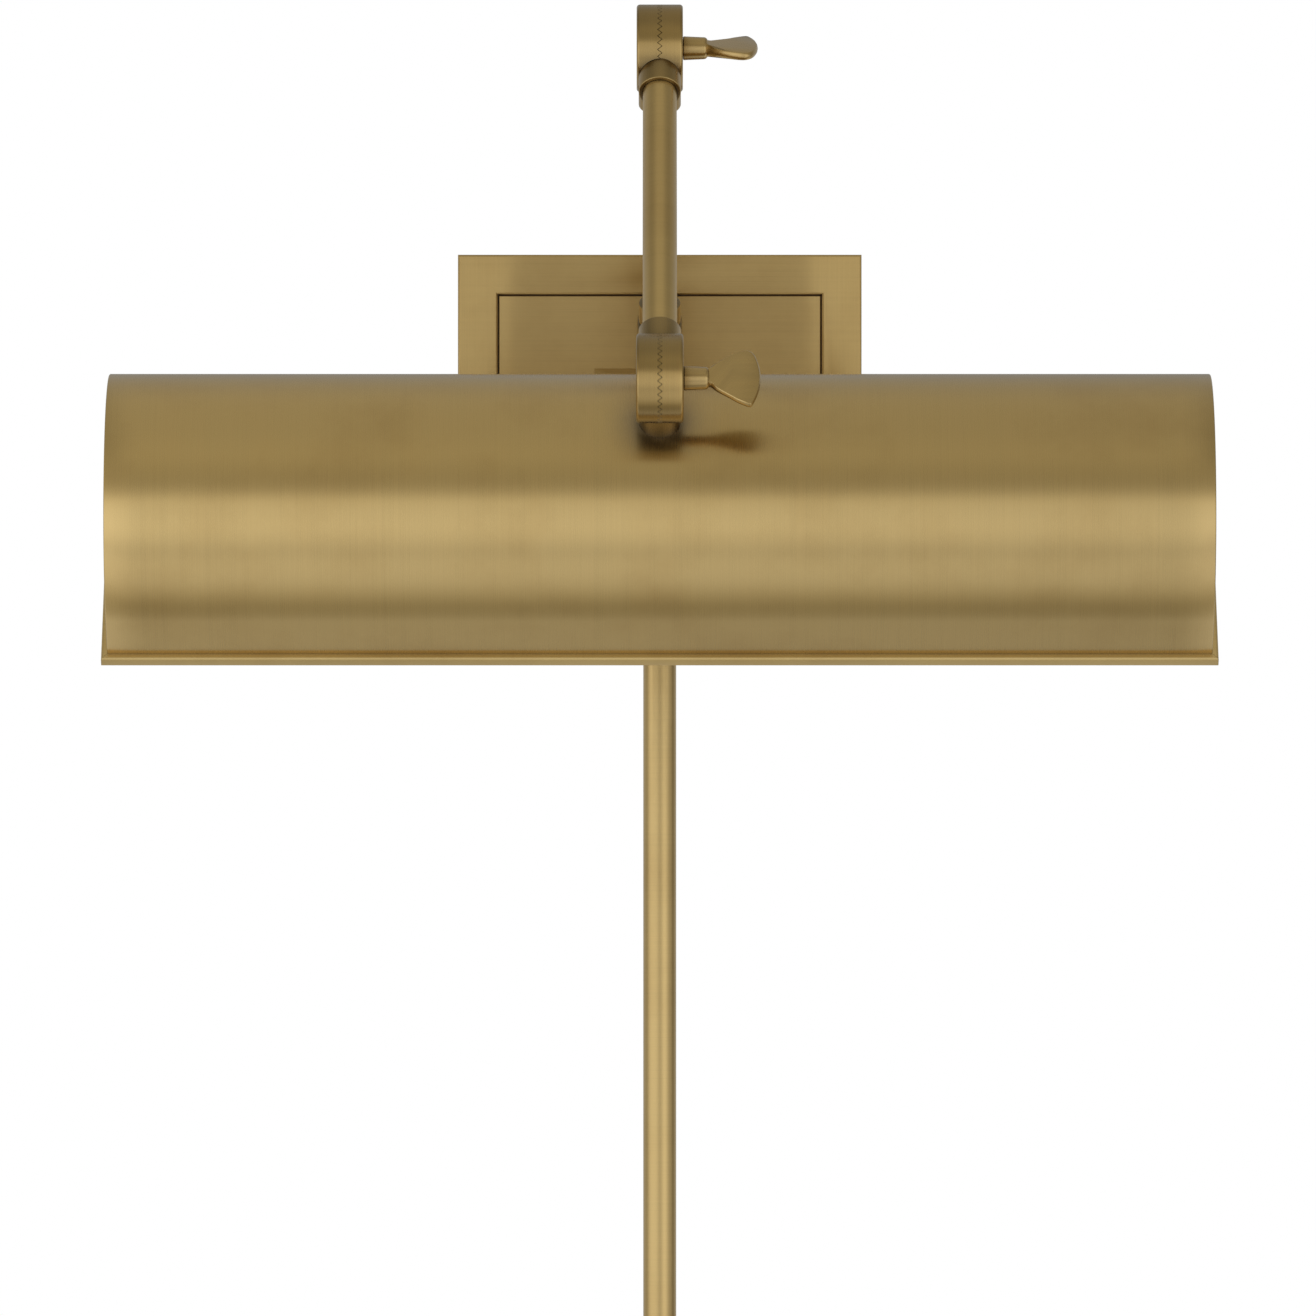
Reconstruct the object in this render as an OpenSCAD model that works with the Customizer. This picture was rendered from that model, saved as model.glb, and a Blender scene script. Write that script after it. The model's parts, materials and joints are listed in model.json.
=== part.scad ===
// Articulated picture light with serrated swivel joints.
// Millimetres. The origin is the middle of the wall plate's back face, +Z is up,
// +X is to the right and the light stands out from the wall along -Y.

/* [Wall plate] */
// Width of the wall plate
plate_w = 116.2; // [110:0.1:130]
// Height of the wall plate
plate_h = 104.6; // [90:0.1:120]
// Depth of the wall plate
plate_d = 14; // [13:0.5:18]
// Width of the raised border round the panel
border_w = 11.7; // [8:0.1:14]
// Width of the block that carries the arms
block_w = 37.6; // [34:0.1:44]
// Height of the block
block_h = 39.2; // [38:0.1:46]

/* [Arms] */
// Length of the back arm, pivot to pivot
back_arm_l = 102.3; // [90:0.1:120]
// Length of the front arm, pivot to pivot
front_arm_l = 134.6; // [120:0.1:150]
// Lean of the back arm from vertical, in degrees
back_arm_lean = 33; // [25:1:40]
// Lean of the front arm from vertical, in degrees
front_arm_lean = 45; // [40:1:50]
// Outside diameter of the arm tubes
arm_d = 9.5; // [9:0.1:10]

/* [Knuckles] */
// Diameter of a knuckle
knuckle_d = 24.6; // [23:0.1:28]
// Width of a knuckle, both halves together
knuckle_w = 13; // [12:0.1:14]
// Diameter of a knuckle's collar
collar_d = 11.9; // [11:0.1:12.5]
// Distance from a pivot to the end of its collar
collar_reach = 18.5; // [17:0.1:22]
// Number of teeth round a knuckle's face
tooth_count = 40; // [20:4:48]
// Length of a wing screw's paddle
wing_l = 14.1; // [12:0.1:16]
// Half the width of the paddle at its corners
wing_half_w = 8.5; // [7:0.1:9]

/* [Shade] */
// Length of the shade
shade_l = 305; // [280:1:340]
// Outside radius of the round crown
shade_r = 39.2; // [37:0.1:42]
// Height of the straight skirts below the crown
skirt_h = 13.5; // [8:0.5:16]
// Turn of the shade about X, with its mouth straight down at 0
shade_turn = 49; // [40:1:60]
// How far the rim stands out past the shell
rim_out = 1.7; // [1:0.1:3]

/* [Cord cover] */
// Outside diameter of the cord-cover tube
rod_d = 9.5; // [9.5:0.1:10]
// Length of the cord-cover tube
rod_l = 305; // [200:5:400]

/* [Lamps] */
// Diameter of a lamp's glass
lamp_d = 25; // [20:1:26]
// Distance from the shade's middle to a lamp's tip
lamp_reach = 136; // [125:1:138]

/* [Hidden] */
$fn = 64;

brass = "#92784a";
dark_brass = "#6e5530";
steel = "#a9adb0";
white = "#efefec";
black = "#26262a";
glass = "#dfe6ea";

// Gaps: a fixed joint's, a turning shaft's, and each knuckle face's from the seam
snug = 0.02;
running = 0.06;
seam = 0.03;
// Extra length of a cut past the face that it opens
over = 1;

// Wall plate
plate_t = 2;
recess_d = 2;
panel_t = 1.5;
panel_y = -(plate_d - recess_d);
pocket_d = plate_d - recess_d - panel_t;
groove_w = 0.7;
groove_d = 0.6;
strap_t = 2;
strap_h = 22;
slot_spacing = 88.9;
slot_l = 9;
slot_w = 4.6;
ear_h = 12;
ear_reach = 8;
ear_x = plate_w / 2 - plate_t - 0.15;
grub_y = -5;
grub_r = 1.5;
block_d = 19;
block_screw_x = 13;
block_screw_z = -9;
block_screw_r = 2;
block_screw_l = 11;
plate_way_r = 5;
ground_x = 22;
ground_r = 1.98;
connector_x = 24;
connector_top = -22;
connector_y = -6;

// Cord cover
rod_y = -6;
rod_bore_r = 3.5;
outlet_r = 2.8;
nipple_dip = 12;
nipple_slot_c = 2;
bush_l = 10;
bush_flange = 1.5;

// Knuckles
kr = knuckle_d / 2;
half_w = knuckle_w / 2;
cr = collar_d / 2;
edge_r = 1;
sweep_gap = 0.4;
tooth_d = 1.15;
tooth_w = 1.3;
tooth_in = 8.5;
chamber_in = 4.7;
chamber_out = 8.2;
chamber_d = 3.2;
pin_r = 2.5;
pin_l = 5.4;
wire_way_r = 2.9;
tube_start = 13.2;
arm_wall = 1;
lead_r = 0.85;
stub_r = 4;
clamp_head_r = 4.2;
clamp_head_h = 2.6;

// Wing screws
neck_r = 3.35;
neck_l = 7;
wing_t = 2.3;
wing_arc_r = 16;
elbow_wing_turn = -70;
shade_wing_turn = -26;

// Shade
shell_t = 0.8;
liner_t = 0.4;
cap_t = 1;
rim_t = 3;
shade_stub = 17.2;
inner_r = shade_r - shell_t;
liner_r = inner_r - snug - liner_t;
saddle_z = 34.5;
saddle_x = 11;
saddle_y = 8;
frame_t = 1.5;
frame_x = 16;
frame_low = -9;
nipple_bottom = 27.5;
nut_h = 3;

// Lamps
socket_r = 10;
socket_l = 30;
socket_floor = 6;
cavity_r = 7.3;
base_r = 6.9;
socket_end = frame_x + socket_l;
lamp_r = lamp_d / 2;
glass_t = 0.8;
neck_glass_r = 5.9;
socket_screw_y = 6;

// Pivots and the shade's centre
function walk(from, turn, dist) = from + dist * [0, -sin(turn), cos(turn)];
slope_turn = 45;
back_turn = back_arm_lean;
front_turn = 180 - front_arm_lean;
wall_stub = 17;
slope_mid = [0, panel_y - block_d / 2, (block_h - block_d) / 2];
wall_pivot = walk(slope_mid, slope_turn, wall_stub);
elbow = walk(wall_pivot, back_turn, back_arm_l);
shade_pivot = walk(elbow, front_turn, front_arm_l);
shade_mid = walk(shade_pivot, shade_turn + 180, shade_stub + shade_r);

// Children drawn along +Z are turned about X and put at a point
module place(point, turn) {
    translate(point) rotate([turn, 0, 0]) children();
}

// Round bar along X between two places
module bar_x(x0, x1, r) {
    translate([x0, 0, 0]) rotate([0, 90, 0]) cylinder(r = r, h = x1 - x0);
}

// Body of revolution about X, from a profile of [radius, x] points
module turned_x(profile) {
    rotate([0, 90, 0]) rotate_extrude() polygon(profile);
}

// Body of revolution about Z, from a profile of [radius, z] points
module turned_z(profile) {
    rotate_extrude() polygon(profile);
}

// Quarter-round corner as a list of points
function corner(cx, cy, r, a0, a1, steps = 6) =
    [for (i = [0 : steps]) let (a = a0 + (a1 - a0) * i / steps) [cx + r * cos(a), cy + r * sin(a)]];

// Point on a cubic curve with four control points
function curve(p, t) =
    pow(1 - t, 3) * p[0] + 3 * pow(1 - t, 2) * t * p[1] + 3 * (1 - t) * t * t * p[2] + pow(t, 3) * p[3];
function unit(v) = v / norm(v);

// Round wire swept along a cubic curve. The side vector is never along the wire.
module wire(p, r, side, rings = 18, sides = 8) {
    points = [
        for (i = [0 : rings])
            let (
                t = i / rings,
                along = unit(curve(p, min(1, t + 0.01)) - curve(p, max(0, t - 0.01))),
                u = unit(cross(side, along)),
                v = cross(along, u)
            )
            for (k = [0 : sides - 1])
                curve(p, t) + r * (cos(360 * k / sides) * u + sin(360 * k / sides) * v)
    ];
    skin = [
        for (i = [0 : rings - 1], k = [0 : sides - 1])
            let (n = (k + 1) % sides, a = i * sides)
            [a + k, a + sides + k, a + sides + n, a + n]
    ];
    first = [for (k = [0 : sides - 1]) k];
    last = [for (k = [sides - 1 : -1 : 0]) rings * sides + k];
    polyhedron(points = points, faces = concat(skin, [first, last]), convexity = 4);
}

// ---- Wall plate ----

module backplate_cover() {
    panel_w = plate_w - 2 * border_w;
    panel_h = plate_h - 2 * border_w;
    color(brass)
    difference() {
        translate([-plate_w / 2, -plate_d, -plate_h / 2]) cube([plate_w, plate_d, plate_h]);
        // recessed panel, with a fine groove round it
        translate([-panel_w / 2, -plate_d - over, -panel_h / 2])
            cube([panel_w, recess_d + over, panel_h]);
        difference() {
            translate([-panel_w / 2, panel_y - over, -panel_h / 2])
                cube([panel_w, groove_d + over, panel_h]);
            translate([-panel_w / 2 + groove_w, panel_y - 2 * over, -panel_h / 2 + groove_w])
                cube([panel_w - 2 * groove_w, groove_d + 4 * over, panel_h - 2 * groove_w]);
        }
        // hollow behind
        translate([-plate_w / 2 + plate_t, -pocket_d, -plate_h / 2 + plate_t])
            cube([plate_w - 2 * plate_t, pocket_d + over, plate_h - 2 * plate_t]);
        // way for the leads and holes for the block's screws
        translate([0, -plate_d, 0]) rotate([-90, 0, 0]) cylinder(r = plate_way_r, h = plate_d);
        for (x = [-1, 1])
            translate([x * block_screw_x, -plate_d, block_screw_z])
                rotate([-90, 0, 0]) cylinder(r = block_screw_r + 0.2, h = plate_d);
        // open slot for the cord cover's nipple, and the grub screws in the sides
        translate([0, rod_y, -plate_h / 2 - over])
            linear_extrude(plate_t + 2 * over)
                polygon([
                    [-rod_bore_r, over - rod_y],
                    [-rod_bore_r, -nipple_slot_c],
                    [-nipple_slot_c, -rod_bore_r],
                    [nipple_slot_c, -rod_bore_r],
                    [rod_bore_r, -nipple_slot_c],
                    [rod_bore_r, over - rod_y]
                ]);
        translate([0, grub_y, 0]) bar_x(-plate_w / 2 - over, plate_w / 2 + over, grub_r + snug);
    }
}

module slot_cut(x) {
    for (s = [-1, 1])
        translate([x + s * (slot_l - slot_w) / 2, -strap_t - over, 0])
            rotate([-90, 0, 0]) cylinder(d = slot_w, h = strap_t + 2 * over);
    translate([x - (slot_l - slot_w) / 2, -strap_t - over, -slot_w / 2])
        cube([slot_l - slot_w, strap_t + 2 * over, slot_w]);
}

module mounting_bracket() {
    color(steel)
    difference() {
        union() {
            translate([-ear_x, -strap_t, -strap_h / 2]) cube([2 * ear_x, strap_t, strap_h]);
            for (x = [-ear_x, ear_x - strap_t])
                translate([x, -ear_reach, -ear_h / 2]) cube([strap_t, ear_reach, ear_h]);
        }
        for (s = [-1, 1]) slot_cut(s * slot_spacing / 2);
        translate([0, -strap_t - over, 0])
            rotate([-90, 0, 0]) cylinder(r = plate_way_r + 0.2, h = strap_t + 2 * over);
        translate([ground_x, -strap_t - over, 0])
            rotate([-90, 0, 0]) cylinder(r = ground_r + snug, h = strap_t + 2 * over);
        translate([0, grub_y, 0]) bar_x(-plate_w / 2, plate_w / 2, grub_r + snug);
    }
}

module cover_screws() {
    color(dark_brass)
    for (s = [0, 1])
        mirror([s, 0, 0])
            translate([0, grub_y, 0])
                difference() {
                    bar_x(ear_x - strap_t, plate_w / 2 - 0.3, grub_r);
                    translate([plate_w / 2 - 1.8, 0, 0])
                        rotate([0, 90, 0]) cylinder(r = 0.8, h = 3, $fn = 6);
                }
}

module arm_block() {
    side = [
        [panel_y, -block_h / 2],
        [panel_y, block_h / 2],
        [panel_y - block_d, block_h / 2 - block_d],
        [panel_y - block_d, -block_h / 2]
    ];
    color(brass)
    difference() {
        rotate([90, 0, 90]) linear_extrude(block_w, center = true) polygon(side);
        place(slope_mid, slope_turn) {
            translate([0, 0, -8]) cylinder(r = stub_r + snug, h = 8 + over);
            translate([0, 0, -20]) cylinder(r = wire_way_r, h = 20);
        }
        for (x = [-1, 1])
            translate([x * block_screw_x, panel_y - block_screw_l, block_screw_z])
                rotate([-90, 0, 0]) cylinder(r = block_screw_r + snug, h = block_screw_l + over);
    }
}

module block_screws() {
    color(steel)
    for (x = [-1, 1])
        translate([x * block_screw_x, -pocket_d, block_screw_z])
            difference() {
                union() {
                    translate([0, -block_screw_l - 0.5, 0])
                        rotate([-90, 0, 0]) cylinder(r = block_screw_r, h = block_screw_l + 0.5);
                    rotate([-90, 0, 0]) cylinder(r1 = 3.8, r2 = 3.1, h = 2.4, $fn = 48);
                }
                translate([-0.5, 1.4, -4]) cube([1, 2, 8]);
                translate([-4, 1.4, -0.5]) cube([8, 2, 1]);
            }
}

module ground_screw() {
    color("#3f7d4a")
    translate([ground_x, 0, 0])
        difference() {
            union() {
                translate([0, -6, 0]) rotate([-90, 0, 0]) cylinder(r = ground_r, h = 6);
                translate([0, -4.4, 0]) rotate([90, 0, 0]) cylinder(r = 4, h = 2);
            }
            translate([-4.5, -7, -0.5]) cube([9, 1.2, 1]);
        }
}

module wire_connectors() {
    color("#c9752b")
    for (s = [-1, 1])
        translate([s * connector_x, connector_y, connector_top])
            difference() {
                turned_z([[0, 0], [4.2, 0], [4.2, -2.5], [3.7, -3], [2.9, -15], [2.2, -16], [0, -16]]);
                translate([0, 0, -8]) turned_z([[0, 0], [2.6, 0], [3.2, 8 + over], [0, 8 + over]]);
            }
}

// Leads in the plate: two from the arm to the connectors and one to the ground
// screw, and two from the cord's way to the connectors
module plate_leads() {
    color(black)
    for (s = [-1, 1]) {
        arm_lead = [[s * 1.6, -11, 0.5], [s * 1.6, -3, -3], [s * (connector_x - 1.2), -5, 6],
            [s * (connector_x - 1.2), connector_y, connector_top - 7]];
        wire(arm_lead, lead_r, [0.2, 0.4, 1]);
    }
    color(white)
    for (s = [-1, 1]) {
        cord_lead = [[s * 1, rod_y, -40], [s * 1, rod_y, -8], [s * (connector_x + 1.2), connector_y, 4],
            [s * (connector_x + 1.2), connector_y, connector_top - 7]];
        wire(cord_lead, lead_r, [0, 1, 0]);
    }
}

// ---- Cord cover ----

module cord_cover_tube() {
    color(brass)
    translate([0, rod_y, -plate_h / 2 - rod_l])
        difference() {
            cylinder(d = rod_d, h = rod_l);
            translate([0, 0, -over]) cylinder(r = rod_bore_r, h = rod_l + 2 * over);
        }
}

module cord_cover_nipple() {
    color(dark_brass)
    translate([0, rod_y, -plate_h / 2 - nipple_dip])
        difference() {
            cylinder(r = rod_bore_r - snug, h = nipple_dip + plate_t + 4);
            translate([0, 0, -over]) cylinder(r = outlet_r, h = nipple_dip + plate_t + 4 + 2 * over);
        }
}

module cord_cover_locknut() {
    color(dark_brass)
    translate([0, rod_y, -plate_h / 2 + plate_t])
        difference() {
            cylinder(r = 4.95, h = nut_h, $fn = 6);
            translate([0, 0, -over]) cylinder(r = rod_bore_r, h = nut_h + 2 * over);
        }
}

module cord_cover_bush() {
    color(dark_brass)
    translate([0, rod_y, -plate_h / 2 - rod_l])
        difference() {
            union() {
                cylinder(r = rod_bore_r - snug, h = bush_l);
                translate([0, 0, -bush_flange])
                    turned_z([
                        [0, 0],
                        [rod_d / 2 - 0.5, 0],
                        [rod_d / 2, 0.5],
                        [rod_d / 2, bush_flange],
                        [0, bush_flange]
                    ]);
            }
            translate([0, 0, -bush_flange - over])
                cylinder(r = outlet_r, h = bush_l + bush_flange + 2 * over);
        }
}

// ---- Knuckles ----

// Body of the half on the +X side of the seam: a disc with a rounded outer edge and
// a round collar along +Z, cut back where the other half turns
module half_body(reach) {
    difference() {
        union() {
            turned_x(concat(
                [[0, seam], [kr, seam]],
                corner(kr - edge_r, half_w - edge_r, edge_r, 0, 90),
                [[0, half_w]]
            ));
            turned_z([[0, 0], [cr, 0], [cr, reach - 0.4], [cr - 0.4, reach], [0, reach]]);
        }
        bar_x(-half_w - over, seam, kr + sweep_gap);
    }
}

// Room inside a half for its pin and the leads, with the teeth cut in its face
module half_cuts(bore_l, reach) {
    bar_x(-over, bore_l, pin_r + running);
    turned_x([[chamber_in, -over], [chamber_out, -over], [chamber_out, chamber_d], [chamber_in, chamber_d]]);
    translate([0, 0, chamber_in + 1]) cylinder(r = wire_way_r, h = reach);
    for (i = [0 : tooth_count - 1])
        rotate([i * 360 / tooth_count, 0, 0])
            translate([seam, 0, tooth_in])
                linear_extrude(kr + 0.2 - tooth_in)
                    polygon([[-0.01, -tooth_w / 2], [-0.01, tooth_w / 2], [tooth_d, 0]]);
}

// Half knuckle at the end of an arm. side is 1 for the half at +X, -1 for the one at -X.
module arm_half(side, bore_l = half_w + over) {
    mirror([side < 0 ? 1 : 0, 0, 0])
        difference() {
            half_body(collar_reach);
            half_cuts(bore_l, collar_reach);
            translate([0, 0, tube_start]) cylinder(r = arm_d / 2 + snug, h = collar_reach);
        }
}

module wall_knuckle() {
    color(brass)
    place(wall_pivot, slope_turn + 180)
        mirror([1, 0, 0])
            difference() {
                union() {
                    half_body(wall_stub);
                    translate([0, 0, wall_stub - 1]) cylinder(r = stub_r, h = 8.5);
                }
                half_cuts(pin_l + 0.2, wall_stub + 10);
            }
}

module wall_clamp_screw() {
    color(dark_brass)
    translate(wall_pivot)
        difference() {
            turned_x([
                [0, -pin_l],
                [pin_r - 0.4, -pin_l],
                [pin_r, 0.4 - pin_l],
                [pin_r, half_w - clamp_head_h],
                [clamp_head_r, half_w - clamp_head_h],
                [clamp_head_r, half_w - 0.4],
                [clamp_head_r - 0.4, half_w],
                [0, half_w]
            ]);
            translate([half_w - 1.6, 0, 0]) rotate([0, 90, 0]) cylinder(r = 2.3, h = 3, $fn = 6);
        }
}

module back_arm_lower_knuckle() {
    color(brass)
    place(wall_pivot, back_turn)
        difference() {
            arm_half(1);
            bar_x(half_w - clamp_head_h - 0.1, half_w + over, clamp_head_r + running);
        }
}

module back_arm_upper_knuckle() {
    color(brass) place(elbow, back_turn + 180) arm_half(-1, pin_l + 0.2);
}

module front_arm_upper_knuckle() {
    color(brass) place(elbow, front_turn) arm_half(1);
}

module front_arm_lower_knuckle() {
    color(brass) place(shade_pivot, front_turn + 180) arm_half(-1, pin_l + 0.2);
}

module shade_knuckle() {
    color(brass)
    difference() {
        place(shade_pivot, shade_turn + 180)
            difference() {
                half_body(shade_stub + 2);
                half_cuts(half_w + over, shade_stub + 2);
                translate([0, 0, tube_start]) cylinder(r = stub_r + snug, h = shade_stub);
            }
        place(shade_mid, shade_turn) bar_x(-20, 20, shade_r + snug);
    }
}

// ---- Arms ----

module arm_tube(l) {
    difference() {
        translate([0, 0, tube_start]) cylinder(d = arm_d, h = l - 2 * tube_start);
        translate([0, 0, tube_start - over])
            cylinder(d = arm_d - 2 * arm_wall, h = l - 2 * tube_start + 2 * over);
    }
}

// Three leads that lie against the tube's wall and end with the tube
module arm_leads(l) {
    lead_x = arm_d / 2 - arm_wall - lead_r - snug;
    for (a = [90, 210, 330])
        rotate([0, 0, a])
            translate([lead_x, 0, tube_start]) cylinder(r = lead_r, h = l - 2 * tube_start, $fn = 16);
}

module back_arm_tube() {
    color(brass) place(wall_pivot, back_turn) arm_tube(back_arm_l);
}

module back_arm_leads() {
    color(black) place(wall_pivot, back_turn) arm_leads(back_arm_l);
}

module front_arm_tube() {
    color(brass) place(elbow, front_turn) arm_tube(front_arm_l);
}

module front_arm_leads() {
    color(black) place(elbow, front_turn) arm_leads(front_arm_l);
}

// ---- Wing screws ----

// Paddle outline in the X-Z plane, from the waist out to the rounded end
module wing_outline() {
    root = half_w + neck_l;
    tip = root + wing_l;
    half = asin(wing_half_w / wing_arc_r);
    end = [
        for (i = [-6 : 6])
            let (a = half * i / 6)
            [tip + wing_arc_r * (cos(a) - 1), wing_arc_r * sin(a)]
    ];
    lower = [
        [root - 1, -2.05],
        [root + 0.6, -2.3],
        [root + 1.7, -3.5],
        [root + 5.8, -6.1],
        [root + 9.4, -7.8]
    ];
    upper = [for (i = [len(lower) - 1 : -1 : 0]) [lower[i][0], -lower[i][1]]];
    polygon(concat(lower, end, upper));
}

module wing_screw(turn) {
    head = half_w + 0.05;
    rotate([turn, 0, 0]) {
        turned_x(concat(
            [[0, -pin_l], [pin_r - 0.4, -pin_l], [pin_r, 0.4 - pin_l], [pin_r, head], [neck_r, head]],
            corner(neck_r - 1.4, half_w + neck_l - 1.4, 1.2, 0, 90),
            [[0, half_w + neck_l - 0.2]]
        ));
        rotate([90, 0, 0]) linear_extrude(wing_t, center = true) wing_outline();
    }
}

module elbow_wing_screw() {
    color(brass) translate(elbow) wing_screw(elbow_wing_turn);
}

module shade_wing_screw() {
    color(brass) translate(shade_pivot) wing_screw(shade_wing_turn);
}

// ---- Shade, drawn with its mouth down and its long axis on X ----

module in_shade() {
    place(shade_mid, shade_turn) children();
}

// Trough section: a half round crown on straight skirts that end at -low
module trough(r, low) {
    difference() {
        union() {
            circle(r = r, $fn = 128);
            translate([-r, -low]) square([2 * r, low]);
        }
        translate([-r - over, -r - 2 * over]) square([2 * r + 2 * over, r + 2 * over - low]);
    }
}

module along_shade(l) {
    rotate([90, 0, 90]) linear_extrude(l, center = true) children();
}

module shade_shell() {
    color(brass)
    in_shade()
        difference() {
            along_shade(shade_l) trough(shade_r, skirt_h);
            along_shade(shade_l + 2 * over) trough(inner_r, skirt_h + over);
            cylinder(r = stub_r + snug, h = shade_r + over);
        }
}

module shade_reflector() {
    color(white)
    in_shade()
        difference() {
            along_shade(shade_l - 2 * cap_t - 0.1) trough(inner_r - snug, skirt_h);
            along_shade(shade_l + 2 * over) trough(liner_r, skirt_h + over);
            cylinder(r = stub_r + snug, h = shade_r + over);
        }
}

module end_cap(side) {
    color(brass)
    in_shade()
        translate([side * (shade_l - cap_t) / 2, 0, 0]) along_shade(cap_t) trough(inner_r - snug, skirt_h);
}

module rim_frame() {
    out_x = shade_l / 2 + rim_out;
    out_y = shade_r + rim_out;
    in_x = shade_l / 2 - cap_t;
    in_y = liner_r;
    color(brass)
    in_shade()
        difference() {
            translate([-out_x, -out_y, -skirt_h - rim_t]) cube([2 * out_x, 2 * out_y, rim_t]);
            translate([-in_x, -in_y, -skirt_h - rim_t - over]) cube([2 * in_x, 2 * in_y, rim_t + 2 * over]);
            // mitre lines across the corners
            for (x = [-1, 1], y = [-1, 1])
                translate([x * out_x, y * out_y, -skirt_h - rim_t])
                    rotate([0, 0, x * y * 45]) cube([6, 0.2, 0.5], center = true);
        }
}

module shade_nipple() {
    top = shade_r + shade_stub - tube_start;
    color(dark_brass)
    in_shade()
        translate([0, 0, nipple_bottom])
            difference() {
                cylinder(r = stub_r, h = top - nipple_bottom);
                translate([0, 0, -over]) cylinder(r = wire_way_r, h = top - nipple_bottom + 2 * over);
            }
}

module shade_saddle() {
    color(steel)
    in_shade()
        difference() {
            intersection() {
                translate([-saddle_x, -saddle_y, saddle_z])
                    cube([2 * saddle_x, 2 * saddle_y, shade_r - saddle_z]);
                bar_x(-saddle_x - over, saddle_x + over, liner_r - snug);
            }
            cylinder(r = stub_r + snug, h = shade_r);
        }
}

module shade_locknut() {
    color(steel)
    in_shade()
        translate([0, 0, saddle_z - frame_t - nut_h])
            difference() {
                cylinder(r = 7, h = nut_h, $fn = 6);
                translate([0, 0, -over]) cylinder(r = stub_r + snug, h = nut_h + 2 * over);
            }
}

module socket_bracket() {
    color(steel)
    in_shade()
        difference() {
            union() {
                translate([-frame_x, -saddle_y, saddle_z - frame_t])
                    cube([2 * frame_x, 2 * saddle_y, frame_t]);
                for (x = [-frame_x, frame_x - frame_t])
                    translate([x, -saddle_y, frame_low])
                        cube([frame_t, 2 * saddle_y, saddle_z - frame_low]);
            }
            cylinder(r = stub_r + snug, h = shade_r);
            bar_x(-frame_x - over, frame_x + over, 3);
            for (y = [-1, 1])
                translate([0, y * socket_screw_y, 0]) bar_x(-frame_x - over, frame_x + over, 1.3);
        }
}

module socket_screws() {
    color(steel)
    in_shade()
        for (s = [0, 1], y = [-1, 1])
            mirror([s, 0, 0])
                translate([0, y * socket_screw_y, 0]) {
                    bar_x(frame_x - frame_t - 0.02, frame_x + 5, 1.25);
                    turned_x([[0, frame_x - frame_t - 1.4], [1.2, frame_x - frame_t - 1.4],
                        [1.9, frame_x - frame_t], [0, frame_x - frame_t]]);
                }
}

// Leads from the nipple down between the bracket's ears and out to the sockets
module socket_leads() {
    bend = 7;
    color(white)
    in_shade()
        for (s = [0, 1], y = [-1.1, 1.1])
            mirror([s, 0, 0])
                translate([1.1, y, 0]) {
                    translate([0, 0, bend]) cylinder(r = lead_r, h = 26, $fn = 16);
                    translate([bend, 0, bend]) rotate([90, 180, 0])
                        rotate_extrude(angle = 90, $fn = 48)
                            translate([bend, 0]) circle(r = lead_r, $fn = 16);
                    translate([bend, 0, 0])
                        rotate([0, 90, 0]) cylinder(r = lead_r, h = frame_x - bend, $fn = 16);
                }
}

// ---- Lamps, each drawn on the +X side ----

module on_side(side) {
    in_shade() mirror([side < 0 ? 1 : 0, 0, 0]) children();
}

module lamp_socket(side) {
    color(white)
    on_side(side)
        difference() {
            turned_x([
                [0, frame_x],
                [socket_r - 0.8, frame_x],
                [socket_r, frame_x + 0.8],
                [socket_r, socket_end - 8],
                [socket_r - 0.6, socket_end - 7.4],
                [socket_r - 0.6, socket_end - 0.6],
                [socket_r - 1.2, socket_end],
                [0, socket_end]
            ]);
            bar_x(frame_x + socket_floor, socket_end + over, cavity_r);
            bar_x(frame_x - over, frame_x + socket_floor + over, 2.6);
            for (y = [-1, 1])
                translate([0, y * socket_screw_y, 0]) bar_x(frame_x - over, frame_x + 5.2, 1.27);
        }
}

module socket_shell(side) {
    color(brass)
    on_side(side) {
        difference() {
            bar_x(frame_x + socket_floor + 1, socket_end - 1, cavity_r - snug);
            bar_x(frame_x + socket_floor, socket_end, base_r + snug);
        }
        bar_x(frame_x + socket_floor, frame_x + socket_floor + 1.2, 4);
    }
}

module lamp_base(side) {
    foot = frame_x + socket_floor + 2.8;
    color(dark_brass)
    on_side(side)
        difference() {
            turned_x([[0, foot - 1.5], [2, foot - 1.5], [2.6, foot], [base_r - 1.5, foot], [base_r, foot + 2],
                [base_r, socket_end + 1], [0, socket_end + 1]]);
            bar_x(foot + 12, socket_end + 2, neck_glass_r + snug);
        }
}

// Outline of the glass, neck to tip, shrunk by inset for its inside
function glass_line(inset, start) = concat(
    [[0, start], [neck_glass_r - inset, start]],
    corner(neck_glass_r + 3.3 - inset, socket_end + 2.6 + inset, 3.3, 180, 120, 4),
    corner(lamp_r - 3.3 - inset, socket_end + 8.3 + inset, 3.3, -60, 0, 4),
    corner(0, lamp_reach - lamp_r, lamp_r - inset, 0, 90, 12)
);

module lamp_glass(side) {
    start = frame_x + socket_floor + 15.5;
    color(glass)
    on_side(side)
        difference() {
            turned_x(glass_line(0, start));
            turned_x(glass_line(glass_t, start - over));
        }
}

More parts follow.
